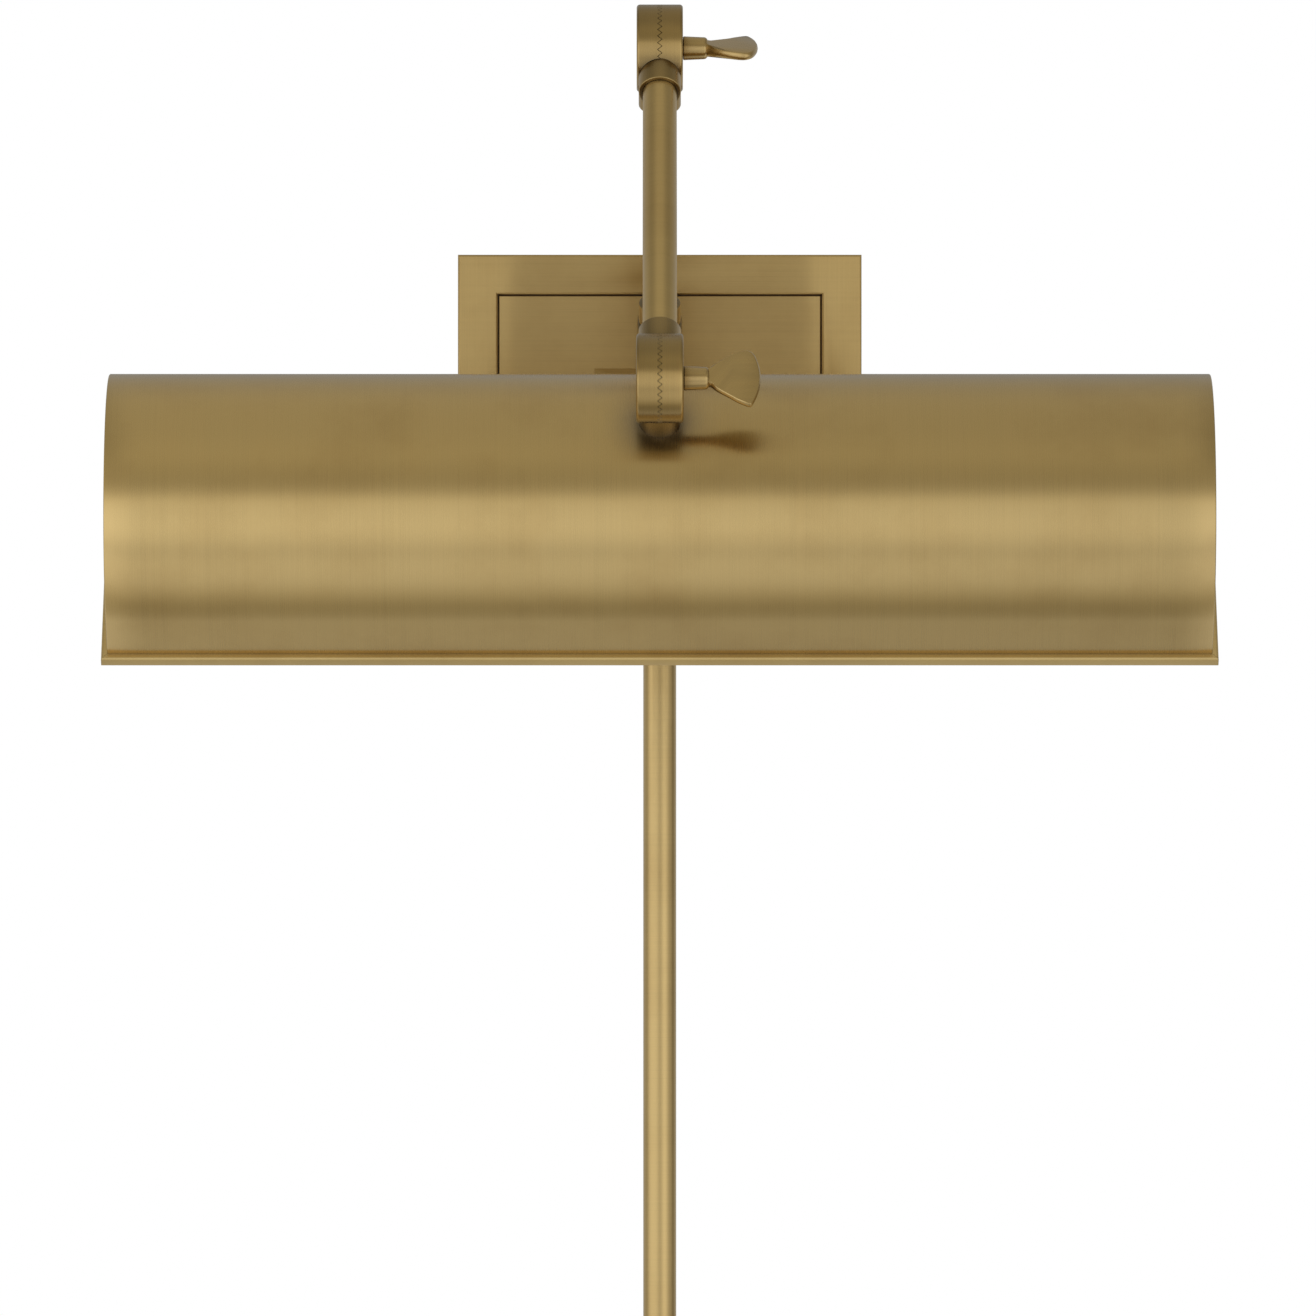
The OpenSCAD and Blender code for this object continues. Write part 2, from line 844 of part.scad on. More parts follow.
backplate_cover();
mounting_bracket();
cover_screws();
arm_block();
block_screws();
wall_knuckle();
wall_clamp_screw();
ground_screw();
wire_connectors();
plate_leads();
cord_cover_tube();
cord_cover_nipple();
cord_cover_locknut();
cord_cover_bush();
back_arm_tube();
back_arm_lower_knuckle();
back_arm_upper_knuckle();
back_arm_leads();
front_arm_tube();
front_arm_upper_knuckle();
front_arm_lower_knuckle();
front_arm_leads();
elbow_wing_screw();
shade_wing_screw();
shade_shell();
shade_reflector();
end_cap(-1);  // end_cap_left
end_cap(1);  // end_cap_right
rim_frame();
shade_knuckle();
shade_nipple();
shade_saddle();
shade_locknut();
socket_bracket();
socket_screws();
socket_leads();
lamp_socket(-1);  // lamp_socket_left
lamp_socket(1);  // lamp_socket_right
socket_shell(-1);  // socket_shell_left
socket_shell(1);  // socket_shell_right
lamp_base(-1);  // lamp_base_left
lamp_base(1);  // lamp_base_right
lamp_glass(-1);  // lamp_glass_left
lamp_glass(1);  // lamp_glass_right
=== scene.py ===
"""Looks of an articulated picture light: camera, studio light, materials and detailed pieces.

Everything is in metres in the row frame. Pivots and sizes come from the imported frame.
"""

import json
import math

import bmesh
import bpy
from mathutils import Matrix, Vector


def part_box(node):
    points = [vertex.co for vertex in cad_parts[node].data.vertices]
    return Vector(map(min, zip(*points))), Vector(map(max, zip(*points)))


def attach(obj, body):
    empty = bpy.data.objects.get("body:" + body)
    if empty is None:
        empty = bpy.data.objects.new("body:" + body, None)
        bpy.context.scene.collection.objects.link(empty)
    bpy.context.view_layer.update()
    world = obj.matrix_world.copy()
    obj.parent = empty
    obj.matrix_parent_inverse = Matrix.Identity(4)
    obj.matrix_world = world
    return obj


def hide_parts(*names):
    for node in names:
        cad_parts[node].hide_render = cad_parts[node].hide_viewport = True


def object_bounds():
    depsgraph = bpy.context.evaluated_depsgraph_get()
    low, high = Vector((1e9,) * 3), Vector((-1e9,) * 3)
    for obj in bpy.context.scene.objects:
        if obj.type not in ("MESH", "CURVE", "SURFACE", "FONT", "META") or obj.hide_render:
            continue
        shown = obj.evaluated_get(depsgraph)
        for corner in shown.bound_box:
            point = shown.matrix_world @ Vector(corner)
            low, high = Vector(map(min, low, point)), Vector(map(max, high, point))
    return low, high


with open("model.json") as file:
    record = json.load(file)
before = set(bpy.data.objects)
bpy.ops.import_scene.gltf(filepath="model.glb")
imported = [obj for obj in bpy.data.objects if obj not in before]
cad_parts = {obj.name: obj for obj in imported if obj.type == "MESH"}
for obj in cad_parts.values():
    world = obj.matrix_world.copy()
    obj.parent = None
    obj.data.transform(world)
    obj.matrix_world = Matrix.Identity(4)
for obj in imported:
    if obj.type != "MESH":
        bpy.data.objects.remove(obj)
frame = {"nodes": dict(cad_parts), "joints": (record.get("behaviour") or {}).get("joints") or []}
cad_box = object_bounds()
scene = bpy.context.scene

# ---- Sizes of the real object, in metres ----

# Knuckles: two half discs that meet in a toothed seam
KNUCKLE_R = 0.0123
KNUCKLE_HALF_W = 0.0065
KNUCKLE_EDGE = 0.0009
TEETH = 40
TOOTH_DEPTH = 0.00125
TOOTH_INNER_R = 0.0085
SEAM_GAP = 0.00007
SEAM_CHAMFER = 0.0001

# Inside a knuckle, the hub stands back from the seam, and its face ends a land's width from the pin
HUB_GAP = 0.0009
HUB_LAND = 0.001

# Collars that hold the tubes. One half's collar is cut clear of the disc that turns beside it
COLLAR_R = 0.00595
COLLAR_START = 0.004
COLLAR_EDGE = 0.0003
COLLAR_REACH = 0.0185
WALL_COLLAR_REACH = 0.017
SHADE_COLLAR_REACH = 0.0192
SOCKET_GAP = 0.00002
SOCKET_EDGE = 0.0001
STUB_R = 0.004
SWEEP_GAP = 0.0004
SWEEP_START = -0.00005
CORE_R = KNUCKLE_R - 0.002
CORE_START = -0.001
CUT_DEPTH = 0.02

# Tubes and the pins of the knuckles
TUBE_R = 0.00475
TUBE_BORE = 0.00375
TUBE_START = 0.0132
TUBE_EDGE = 0.00025
ROD_BORE = 0.0035
PIN_R = 0.0025
PIN_BORE = 0.00256
PIN_END = 0.0054
PIN_EDGE = 0.0004
PIN_END_GAP = 0.0003
CLAMP_HEAD_R = 0.00426
CLAMP_HEAD_DEPTH = 0.0027

# Wing screws: a turned neck, and a cast paddle that is thicker at its root and rounded at its edges
NECK_GAP = 0.00005
NECK_R = 0.00335
NECK_EDGE = 0.0003
NECK_TIP_R = 0.0031
NECK_TIP_ROUND = 0.0011
NECK_L = 0.007
NECK_DOME = 0.0001
WING_L = 0.0141
WING_ARC = 0.016
WING_HALF_W = 0.0085
WING_T = 0.0023
WING_ROOT_T = 0.0009
WING_ROOT_L = 0.004
WING_ROUND = 0.08
WING_MIDDLE = 0.006

# Flanks of the paddle in (out from the neck's end, half width), the full one and the straighter one
FULL_FLANK = [
    (-0.0014, 0.0019), (0.0, 0.0026), (0.001, 0.0036), (0.002, 0.0045), (0.0042, 0.006), (0.0065, 0.0073),
    (0.0087, 0.00815), (0.01, 0.0084),
]
STRAIGHT_FLANK = [
    (-0.0014, 0.0018), (0.0, 0.0021), (0.0006, 0.0025), (0.0012, 0.0031), (0.002, 0.0038), (0.0036, 0.0048),
    (0.0058, 0.0061), (0.0077, 0.0073), (0.0094, 0.0081), (0.0105, 0.00855),
]
STRAIGHT_CORNER = 0.0089
STRAIGHT_CORNER_IN = 0.0001

# Turn of each paddle about its screw
ELBOW_WING_DEG = 110
SHADE_WING_DEG = -26

# Shade: a half round with straight skirts and a mitred rim round its mouth
SHADE_R = 0.0392
SHELL_T = 0.0008
SHELL_EDGE = 0.0003
SKIRT_H = 0.0135
RIM_T = 0.003
RIM_OUT = 0.0017
RIM_LAP_X = 0.001
RIM_LAP_Y = 0.0004
RIM_EDGE = 0.0003
RIM_CROWN = 0.0007
MITRE_GAP = 0.00004

# Wall plate: a raised border round a recessed panel, with a fine groove between them
BORDER_W = 0.0117
BORDER_EDGE = 0.0006
RECESS_D = 0.002
GROOVE_IN = 0.0003
GROOVE_W = 0.0004
GROOVE_D = 0.0009
GROOVE_EDGE = 0.00015
PLATE_WALL = 0.002
POCKET_D = 0.0105

# Cuts in the wall plate: the slot for the cord cover, the arm's way and the screw holes
SLOT_OUT = 0.001
SLOT_CHAMFER = 0.002
SLOT_H = 0.004
PAST_EDGE = 0.002
HOLE_D = 0.004
ARM_WAY_R = 0.005
BLOCK_SCREW_R = 0.0022
BLOCK_SCREW_X = 0.013
BLOCK_SCREW_Z = -0.009
COVER_SCREW_R = 0.00152
COVER_SCREW_Y = -0.005

# Leads, and how far their last stretch laps the CAD leads and runs into the nipple
LEAD_R = 0.00085
LEAD_OFF = 0.001
LEAD_LAP = 0.0005
LEAD_INTO_NIPPLE = 0.004

# Camera and floor
CAMERA_DISTANCE = 3.469
CAMERA_X = -0.0005
CAMERA_Z = -0.0638
CAMERA_LENS = 328.3
FLOOR_R = 1.5
FLOOR_DROP = 0.06

# ---- Places, from the frame ----

PIVOT = {joint["name"]: Vector(joint["pos_m"]) for joint in frame["joints"]}
WALL_PIVOT = PIVOT["wall_pivot"]
ELBOW = PIVOT["elbow"]
SHADE_PIVOT = PIVOT["shade_tilt"]


def middle(node):
    """Middle of a CAD node's box."""
    low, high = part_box(node)
    return (low + high) / 2


def turn_of(direction):
    """Turn about X that takes +Z to a direction in the Y-Z plane."""
    return math.atan2(-direction.y, direction.z)


def along(turn):
    """Direction of +Z after a turn about X."""
    return Vector((0, -math.sin(turn), math.cos(turn)))


BACK_TURN = turn_of(ELBOW - WALL_PIVOT)
FRONT_TURN = turn_of(SHADE_PIVOT - ELBOW)
crown = middle("shade_nipple") - SHADE_PIVOT
SHADE_TURN = turn_of(-crown)
WALL_TURN = turn_of(middle("wall_knuckle") - WALL_PIVOT)
shell_low, shell_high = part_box("shade_shell")
SHADE_MID = Vector((0, shell_low.y + SHADE_R, shell_high.z - SHADE_R))
SHADE_HALF_L = shell_high.x


# ---- Camera, world and floor ----

def build_camera():
    """Long lens from the front, as the photo has it."""
    data = bpy.data.cameras.new("camera")
    data.lens = CAMERA_LENS
    data.sensor_width = 36
    data.clip_start = 0.05
    data.clip_end = 60
    camera = bpy.data.objects.new("camera", data)
    camera.location = (CAMERA_X, -CAMERA_DISTANCE, CAMERA_Z)
    camera.rotation_euler = (math.radians(90), 0, 0)
    scene.collection.objects.link(camera)
    scene.camera = camera


class Nodes:
    """Short calls that build one node tree."""

    def __init__(self, tree):
        self.tree = tree
        tree.nodes.clear()

    def add(self, kind, inputs=None, **settings):
        """New node, with a value or a link for each input that is given."""
        node = self.tree.nodes.new(kind)
        for key, value in settings.items():
            setattr(node, key, value)
        for key, value in (inputs or {}).items():
            self.put(node.inputs[key], value)
        return node

    def put(self, socket, value):
        """Link an output to a socket, or set its value."""
        if isinstance(value, bpy.types.NodeSocket):
            self.tree.links.new(value, socket)
        else:
            socket.default_value = value

    def math(self, operation, a, b=0.0):
        return self.add("ShaderNodeMath", {0: a, 1: b}, operation=operation).outputs[0]

    def scaled(self, value, factor, offset):
        """value * factor + offset."""
        node = self.add("ShaderNodeMath", {0: value, 1: factor, 2: offset}, operation="MULTIPLY_ADD")
        return node.outputs[0]

    def coordinate(self, kind):
        return self.add("ShaderNodeTexCoord").outputs[kind]

    def part(self, vector, axis):
        """One part of a vector, by the name of its axis."""
        return self.add("ShaderNodeSeparateXYZ", {0: vector}).outputs[axis]

    def ramp(self, factor, stops):
        """Colour ramp with (position, colour) stops. A single number is a grey."""
        node = self.add("ShaderNodeValToRGB", {0: factor})
        points = node.color_ramp.elements
        while len(points) < len(stops):
            points.new(0.5)
        for point, (position, colour) in zip(points, stops):
            point.position = position
            point.color = (*colour, 1) if hasattr(colour, "__len__") else (colour, colour, colour, 1)
        return node.outputs[0]

    def noise(self, vector, scale, detail=3.0, roughness=0.5):
        inputs = {"Vector": vector, "Scale": scale, "Detail": detail, "Roughness": roughness}
        return self.add("ShaderNodeTexNoise", inputs).outputs[0]

    def bump(self, height, strength, distance, normal=None):
        inputs = {"Strength": strength, "Distance": distance, "Height": height}
        if normal:
            inputs["Normal"] = normal
        return self.add("ShaderNodeBump", inputs).outputs[0]

    def mix(self, factor, a, b, blend="MIX"):
        node = self.add("ShaderNodeMix", data_type="RGBA", blend_type=blend)
        self.put(node.inputs[0], factor)
        self.put(node.inputs[6], a)
        self.put(node.inputs[7], b)
        return node.outputs[2]


# Studio light by elevation, in degrees: 0 is level behind the camera, 90 straight up,
# -90 straight down and 180 level behind the object. Each step is (angle, level, warmth).
STUDIO = [
    (-180, 0.33, 0.5), (-150, 0.36, 0.5), (-132, 0.44, 0.4), (-118, 0.58, 0.0), (-105, 0.62, 0.1),
    (-90, 0.40, 0.6), (-80, 0.38, 0.8), (-68, 0.57, 0.4), (-57, 0.72, 0.0), (-46, 0.76, 0.0),
    (-38, 0.74, 0.0), (-31, 0.65, 0.0), (-20, 0.79, 0.0), (-10, 0.86, 0.0), (3, 0.80, 0.0),
    (11, 0.80, 0.2), (18, 0.51, 0.5), (25, 0.39, 0.8), (34, 0.41, 0.9), (50, 0.47, 0.9),
    (73, 0.44, 0.8), (108, 0.43, 0.8), (135, 0.35, 0.6), (160, 0.30, 0.4), (180, 0.33, 0.5),
]
# Share of that light by how far left (-1) or right (1) it comes from, level and overhead
SIDES_LEVEL = [
    (-1.0, 1.15), (-0.97, 1.25), (-0.90, 1.38), (-0.6, 1.36), (-0.35, 1.25), (-0.1, 0.94), (0.08, 0.88),
    (0.28, 1.12), (0.5, 1.42), (0.68, 1.34), (0.80, 1.10), (0.92, 0.80), (0.985, 0.72), (1.0, 1.0),
]
SIDES_UP = [
    (-1.0, 0.9), (-0.75, 0.75), (-0.55, 0.72), (-0.2, 1.1), (0.2, 1.1), (0.5, 0.75), (0.7, 0.65), (1.0, 0.9),
]
# Tint of a step whose warmth is 1
WARM = (1.0, 0.93, 0.74)


def build_world():
    """Studio that only the glossy rays see. The camera and the diffuse rays meet plain white."""
    world = bpy.data.worlds.new("studio")
    scene.world = world
    world.use_nodes = True
    nodes = Nodes(world.node_tree)
    parts = nodes.add("ShaderNodeSeparateXYZ", {0: nodes.coordinate("Generated")}).outputs
    toward = nodes.math("MULTIPLY", parts["Y"], -1.0)
    elevation = nodes.math("ARCTAN2", parts["Z"], toward)
    turn = nodes.scaled(elevation, 1 / (2 * math.pi), 0.5)
    bands = []
    for angle, level, warmth in STUDIO:
        bands.append(((angle + 180) / 360, [level * (1 + (tint - 1) * warmth) for tint in WARM]))
    across = nodes.scaled(parts["X"], 0.5, 0.5)
    level = nodes.ramp(across, [((x + 1) / 2, share) for x, share in SIDES_LEVEL])
    up = nodes.ramp(across, [((x + 1) / 2, share) for x, share in SIDES_UP])
    height = nodes.ramp(parts["Z"], [(0.25, 0.0), (0.7, 1.0)])
    light = nodes.mix(1.0, nodes.ramp(turn, bands), nodes.mix(height, level, up), "MULTIPLY")
    white = nodes.add("ShaderNodeBackground", {"Color": (1, 1, 1, 1), "Strength": 1.0})
    studio = nodes.add("ShaderNodeBackground", {"Color": light, "Strength": 1.0})
    ray = nodes.add("ShaderNodeLightPath").outputs
    plain = nodes.math("MAXIMUM", ray["Is Camera Ray"], ray["Is Diffuse Ray"])
    both = nodes.add("ShaderNodeMixShader", {0: plain, 1: studio.outputs[0], 2: white.outputs[0]})
    nodes.add("ShaderNodeOutputWorld", {"Surface": both.outputs[0]})


def new_material(name):
    """Material with an empty node tree, and its place on the object."""
    material = bpy.data.materials.new(name)
    material.use_nodes = True
    nodes = Nodes(material.node_tree)
    return material, nodes, nodes.coordinate("Object")


def build_floor():
    """Round pale floor under the light, which fades into the white round it."""
    mesh = bpy.data.meshes.new("floor")
    shape = bmesh.new()
    bmesh.ops.create_circle(shape, cap_ends=True, segments=96, radius=FLOOR_R)
    shape.to_mesh(mesh)
    shape.free()
    floor = bpy.data.objects.new("floor", mesh)
    floor.location = (0, 0, cad_box[0].z - FLOOR_DROP)
    scene.collection.objects.link(floor)
    material, nodes, place = new_material("floor")
    reach = nodes.add("ShaderNodeVectorMath", {0: place}, operation="LENGTH").outputs["Value"]
    fade = nodes.ramp(reach, [(0.45, 0.0), (1.0, 1.0)])
    paint = nodes.add("ShaderNodeBsdfDiffuse", {"Color": (0.93, 0.93, 0.92, 1)})
    clear = nodes.add("ShaderNodeBsdfTransparent")
    both = nodes.add("ShaderNodeMixShader", {0: fade, 1: paint.outputs[0], 2: clear.outputs[0]})
    nodes.add("ShaderNodeOutputMaterial", {"Surface": both.outputs[0]})
    mesh.materials.append(material)
    floor.visible_glossy = False


# ---- Materials ----

def finish_material(nodes, **inputs):
    """Principled surface from inputs, named as its sockets are with _ for a space."""
    named = {key.replace("_", " "): value for key, value in inputs.items()}
    shader = nodes.add("ShaderNodeBsdfPrincipled", named)
    nodes.add("ShaderNodeOutputMaterial", {"Surface": shader.outputs[0]})


BRASS = (0.62, 0.445, 0.175)


def brush_marks(nodes, place, turned, grain, upright_from):
    """Height of the brush marks, and how far along X a point is into the upright ones, if there are any."""
    fine = nodes.noise(turned, 1.0, 3.0, 0.65)
    far = None
    if upright_from:
        out = nodes.math("ABSOLUTE", nodes.part(place, "X"))
        far = nodes.add("ShaderNodeMapRange", {0: out, 1: upright_from, 2: upright_from + 0.016},
                        interpolation_type="SMOOTHSTEP").outputs[0]
        upright = nodes.add("ShaderNodeMapping", {"Vector": place, "Scale": grain[::-1]},
                            vector_type="TEXTURE")
        fine = nodes.mix(far, fine, nodes.noise(upright.outputs[0], 1.0, 3.0, 0.65))
    broad = nodes.noise(turned, 0.15, 2.0, 0.5)
    return nodes.scaled(broad, 0.35, nodes.math("MULTIPLY", fine, 0.65)), far


def brushed_brass(name, grain, across, turn=0.0, tone=1.0, marks=0.5, rough=0.30, sheen=0.8, ripple=0.3,
                  crease=0.0012, deep=(0.36, 0.37, 0.50), span=(0.2, 0.62), upright_from=0.0,
                  painted_light_lean=(1.0, 1.0), reach=0.15, top_tone=1.0, low_tone=1.0):
    """Brushed, lacquered antique brass.

    grain is the size of the brush marks along X, Y and Z after a turn about X, small
    across the marks, and across is the direction across them, in the same axes. Past
    upright_from, either way along X, the marks blend to upright ones. marks is how much
    they show in the colour. Within crease of another surface the metal is darkened to
    deep, over a span of openness: painted shade in creases, between parts and under them.
    painted_light_lean gives the tone at reach either way along X, painted light that is
    brighter to one side, and top_tone and low_tone that of the faces that point up and
    down, painted shade on tops and undersides.
    """
    material, nodes, place = new_material(name)
    turned = nodes.add("ShaderNodeMapping", {"Vector": place, "Rotation": (turn, 0, 0), "Scale": grain},
                       vector_type="TEXTURE").outputs[0]
    brush, far = brush_marks(nodes, place, turned, grain, upright_from)
    light = [min(1.0, c * 1.12) for c in BRASS]
    dark = [c * 0.78 for c in BRASS]
    tint = nodes.ramp(brush, [(0.30, dark), (0.5, BRASS), (0.70, light)])
    tint = nodes.mix(marks, (*BRASS, 1), tint)
    cloud = nodes.noise(place, 38.0, 4.0, 0.6)
    patina = nodes.ramp(cloud, [(0.30, (0.88, 0.85, 0.80)), (0.55, (1, 1, 1)), (0.75, (1.0, 1.01, 1.03))])
    tint = nodes.mix(0.7, tint, patina, "MULTIPLY")
    tint = nodes.mix(1.0, tint, (tone, tone ** 1.12, tone ** 1.35, 1), "MULTIPLY")
    # Painted light: the colour is made brighter towards one end along X and darker towards the other.
    if painted_light_lean != (1.0, 1.0):
        # A ramp stops at 1, so it holds half the tone, and the colour is doubled after it.
        slope = nodes.scaled(nodes.part(place, "X"), 0.5 / reach, 0.5)
        tint = nodes.mix(1.0, tint, nodes.ramp(slope, [(0, painted_light_lean[0] / 2), (1, painted_light_lean[1] / 2)]), "MULTIPLY")
        tint = nodes.mix(1.0, tint, (2, 2, 2, 1), "MULTIPLY")
    # Painted shade: faces that point up are darkened to top_tone, and those that point down to low_tone.
    if top_tone < 1:
        up = nodes.scaled(nodes.part(nodes.coordinate("Normal"), "Z"), 0.5, 0.5)
        faces = nodes.ramp(up, [(0.03, low_tone), (0.22, 1.0), (0.56, 1.0), (0.8, top_tone)])
        tint = nodes.mix(1.0, tint, faces, "MULTIPLY")
    # Painted shade: where other surfaces are near, ambient occlusion darkens the metal in creases, between
    # parts and under them.
    openness = nodes.add("ShaderNodeAmbientOcclusion", {"Distance": crease}, samples=6).outputs["AO"]
    painted_shade = nodes.ramp(openness, [(span[0], deep), (span[1], (1, 1, 1))])
    tint = nodes.mix(1.0, tint, painted_shade, "MULTIPLY")
    roughness = nodes.scaled(brush, 0.12, rough - 0.06)
    wave = nodes.bump(nodes.noise(place, 160.0, 2.0, 0.5), ripple, 0.00002)
    bump = nodes.bump(brush, 0.1, 0.00002, wave)
    local = along(turn) * across[2] + Vector((across[0], 0, 0))
    local += Vector((0, math.cos(turn), math.sin(turn))) * across[1]
    if upright_from:
        local = nodes.mix(far, (*local, 1), (1, 0, 0, 1))
    tangent = nodes.add("ShaderNodeVectorTransform", {0: local}, vector_type="VECTOR",
                        convert_from="OBJECT", convert_to="WORLD").outputs[0]
    finish_material(nodes, Base_Color=tint, Metallic=1.0, Roughness=roughness, Anisotropic=0.75,
                    Tangent=tangent, Normal=bump, Coat_Weight=sheen, Coat_Roughness=0.24, Coat_IOR=1.5)
    return material


def turned_brass():
    """Plain turned brass for the small fittings."""
    material, nodes, place = new_material("turned_brass")
    cloud = nodes.noise(place, 900.0, 3.0)
    tint = nodes.ramp(cloud, [(0.3, (0.46, 0.31, 0.12)), (0.7, (0.66, 0.48, 0.21))])
    roughness = nodes.scaled(cloud, 0.2, 0.2)
    finish_material(nodes, Base_Color=tint, Metallic=1.0, Roughness=roughness)
    return material


def plated_steel():
    """Zinc-plated steel with the faint crystal pattern of the plating."""
    material, nodes, place = new_material("plated_steel")
    cells = nodes.add("ShaderNodeTexVoronoi", {"Vector": place, "Scale": 320.0}).outputs["Distance"]
    tint = nodes.ramp(cells, [(0.0, (0.56, 0.57, 0.57)), (0.6, (0.70, 0.70, 0.69))])
    roughness = nodes.scaled(nodes.noise(place, 500.0), 0.25, 0.22)
    finish_material(nodes, Base_Color=tint, Metallic=1.0, Roughness=roughness)
    return material


def green_screw():
    """Green passivated ground screw."""
    material, nodes, place = new_material("green_screw")
    cloud = nodes.noise(place, 1200.0, 2.0)
    tint = nodes.ramp(cloud, [(0.35, (0.03, 0.16, 0.06)), (0.7, (0.10, 0.34, 0.15))])
    finish_material(nodes, Base_Color=tint, Metallic=0.7, Roughness=0.35)
    return material


def moulded(name, low, high, rough=0.45):
    """Moulded or extruded plastic with a fine skin."""
    material, nodes, place = new_material(name)
    skin = nodes.noise(place, 1500.0, 3.0)
    tint = nodes.ramp(skin, [(0.3, low), (0.7, high)])
    finish_material(nodes, Base_Color=tint, Roughness=rough, Normal=nodes.bump(skin, 0.15, 0.00005))
    return material


def enamel():
    """Baked white enamel with a little orange peel."""
    material, nodes, place = new_material("white_enamel")
    peel = nodes.noise(place, 700.0, 2.0)
    cloud = nodes.noise(place, 25.0, 2.0)
    tint = nodes.ramp(cloud, [(0.3, (0.80, 0.79, 0.75)), (0.7, (0.88, 0.87, 0.84))])
    bump = nodes.bump(peel, 0.2, 0.00006)
    finish_material(nodes, Base_Color=tint, Roughness=0.32, Normal=bump, Coat_Weight=0.4, Coat_Roughness=0.1)
    return material


def porcelain():
    """Glazed porcelain with fine specks."""
    material, nodes, place = new_material("porcelain")
    specks = nodes.noise(place, 1800.0, 4.0, 0.7)
    stops = [(0.25, (0.70, 0.67, 0.60)), (0.42, (0.84, 0.82, 0.77)), (0.8, (0.87, 0.85, 0.80))]
    tint = nodes.ramp(specks, stops)
    finish_material(nodes, Base_Color=tint, Roughness=0.22, Coat_Weight=0.7, Coat_Roughness=0.06)
    return material


def lamp_glass():
    """Opal glass: milky and a little see-through, with a hard gloss and faint draw marks."""
    material, nodes, place = new_material("lamp_glass")
    draw = nodes.noise(place, 45.0, 2.0)
    bump = nodes.bump(draw, 0.05, 0.0002)
    tint = nodes.ramp(draw, [(0.3, (0.80, 0.82, 0.81)), (0.7, (0.88, 0.88, 0.86))])
    finish_material(nodes, Base_Color=tint, Roughness=0.32, Normal=bump, Coat_Weight=0.8, Coat_Roughness=0.05,
                    Alpha=0.8)
    return material


# Size of a brush mark across it and along it, and the grains that run round Z and round X
FINE = 0.00016
LONG = 0.03
ROUND_Z = (LONG, LONG, FINE)
ROUND_X = (FINE, LONG, LONG)
X_AXIS = (1, 0, 0)
Y_AXIS = (0, 1, 0)
Z_AXIS = (0, 0, 1)

FINISHES = {
    "tube_back": brushed_brass("brass_back_arm", ROUND_Z, Z_AXIS, BACK_TURN, tone=0.90, sheen=0.55),
    "tube_front": brushed_brass("brass_front_arm", ROUND_Z, Z_AXIS, FRONT_TURN, tone=0.98, marks=0.3,
                                sheen=0.55),
    "rod": brushed_brass("brass_cord_cover", ROUND_Z, Z_AXIS, tone=1.02, marks=0.3),
    # Knuckle: painted shade where it meets its collars and faces the shade, painted shade on its tops and
    # undersides, and painted light on its right half.
    "knuckle": brushed_brass("brass_knuckle", ROUND_X, X_AXIS, tone=0.70, rough=0.27, marks=0.3, ripple=0.8,
                             crease=0.010, deep=(0.20, 0.22, 0.38), span=(0.50, 0.98), painted_light_lean=(0.98, 1.13),
                             reach=0.005, top_tone=0.72, low_tone=0.68, sheen=0.5),
    "wing": brushed_brass("brass_wing", ROUND_Z, X_AXIS, math.radians(60), tone=0.83, rough=0.27),
    # Shade: painted shadow under the knuckle and wing, and painted light brighter towards its left end.
    "shade": brushed_brass("brass_shade", ROUND_X, X_AXIS, SHADE_TURN, marks=0.22, rough=0.28, crease=0.011,
                           deep=(0.50, 0.55, 0.88), span=(0.5, 0.95), painted_light_lean=(1.03, 0.90)),
    # Plate: painted shade in its creases, and painted light brighter towards its right border.
    "plate": brushed_brass("brass_plate", ROUND_Z, Z_AXIS, tone=0.80, rough=0.32, marks=0.4,
                           upright_from=0.034, crease=0.0005, sheen=0.55, painted_light_lean=(0.92, 1.10)),
    "block": brushed_brass("brass_block", ROUND_Z, Z_AXIS, tone=0.86, rough=0.32, marks=0.4),
    "rim": brushed_brass("brass_rim", (LONG, FINE, LONG), Y_AXIS, SHADE_TURN, tone=1.2, rough=0.36,
                         crease=0.0005),
    "groove": moulded("dark_groove", (0.07, 0.04, 0.012), (0.11, 0.062, 0.02), 0.6),
    "turned": turned_brass(),
    "steel": plated_steel(),
    "green": green_screw(),
    "connector": moulded("connector_plastic", (0.50, 0.16, 0.02), (0.66, 0.24, 0.04)),
    "black_wire": moulded("wire_jacket", (0.015, 0.015, 0.015), (0.04, 0.04, 0.04)),
    "white_wire": moulded("white_jacket", (0.66, 0.64, 0.58), (0.76, 0.74, 0.68)),
    "enamel": enamel(),
    "porcelain": porcelain(),
    "glass": lamp_glass(),
}


# ---- Mesh helpers ----

def at(point, turn=0.0):
    """Placement at a point, turned about X."""
    return Matrix.Translation(point) @ Matrix.Rotation(turn, 4, "X")


def facing(point, side):
    """Placement at a point that takes Z to X, or to -X, and angles about Z to angles from Y to Z."""
    return Matrix(((0, 0, side, point[0]), (1, 0, 0, point[1]), (0, 1, 0, point[2]), (0, 0, 0, 1)))


def to_mesh(name, shape):
    """Mesh from a bmesh, with outward normals and smooth shading across its blunt edges."""
    bmesh.ops.remove_doubles(shape, verts=shape.verts, dist=1e-7)
    bmesh.ops.recalc_face_normals(shape, faces=shape.faces)
    mesh = bpy.data.meshes.new(name)
    shape.to_mesh(mesh)
    shape.free()
    smooth(mesh, 35)
    return mesh


def smooth(mesh, angle):
    """Smooth shading, but for edges sharper than an angle in degrees."""
    for face in mesh.polygons:
        face.use_smooth = True
    mesh.set_sharp_from_angle(angle=math.radians(angle))


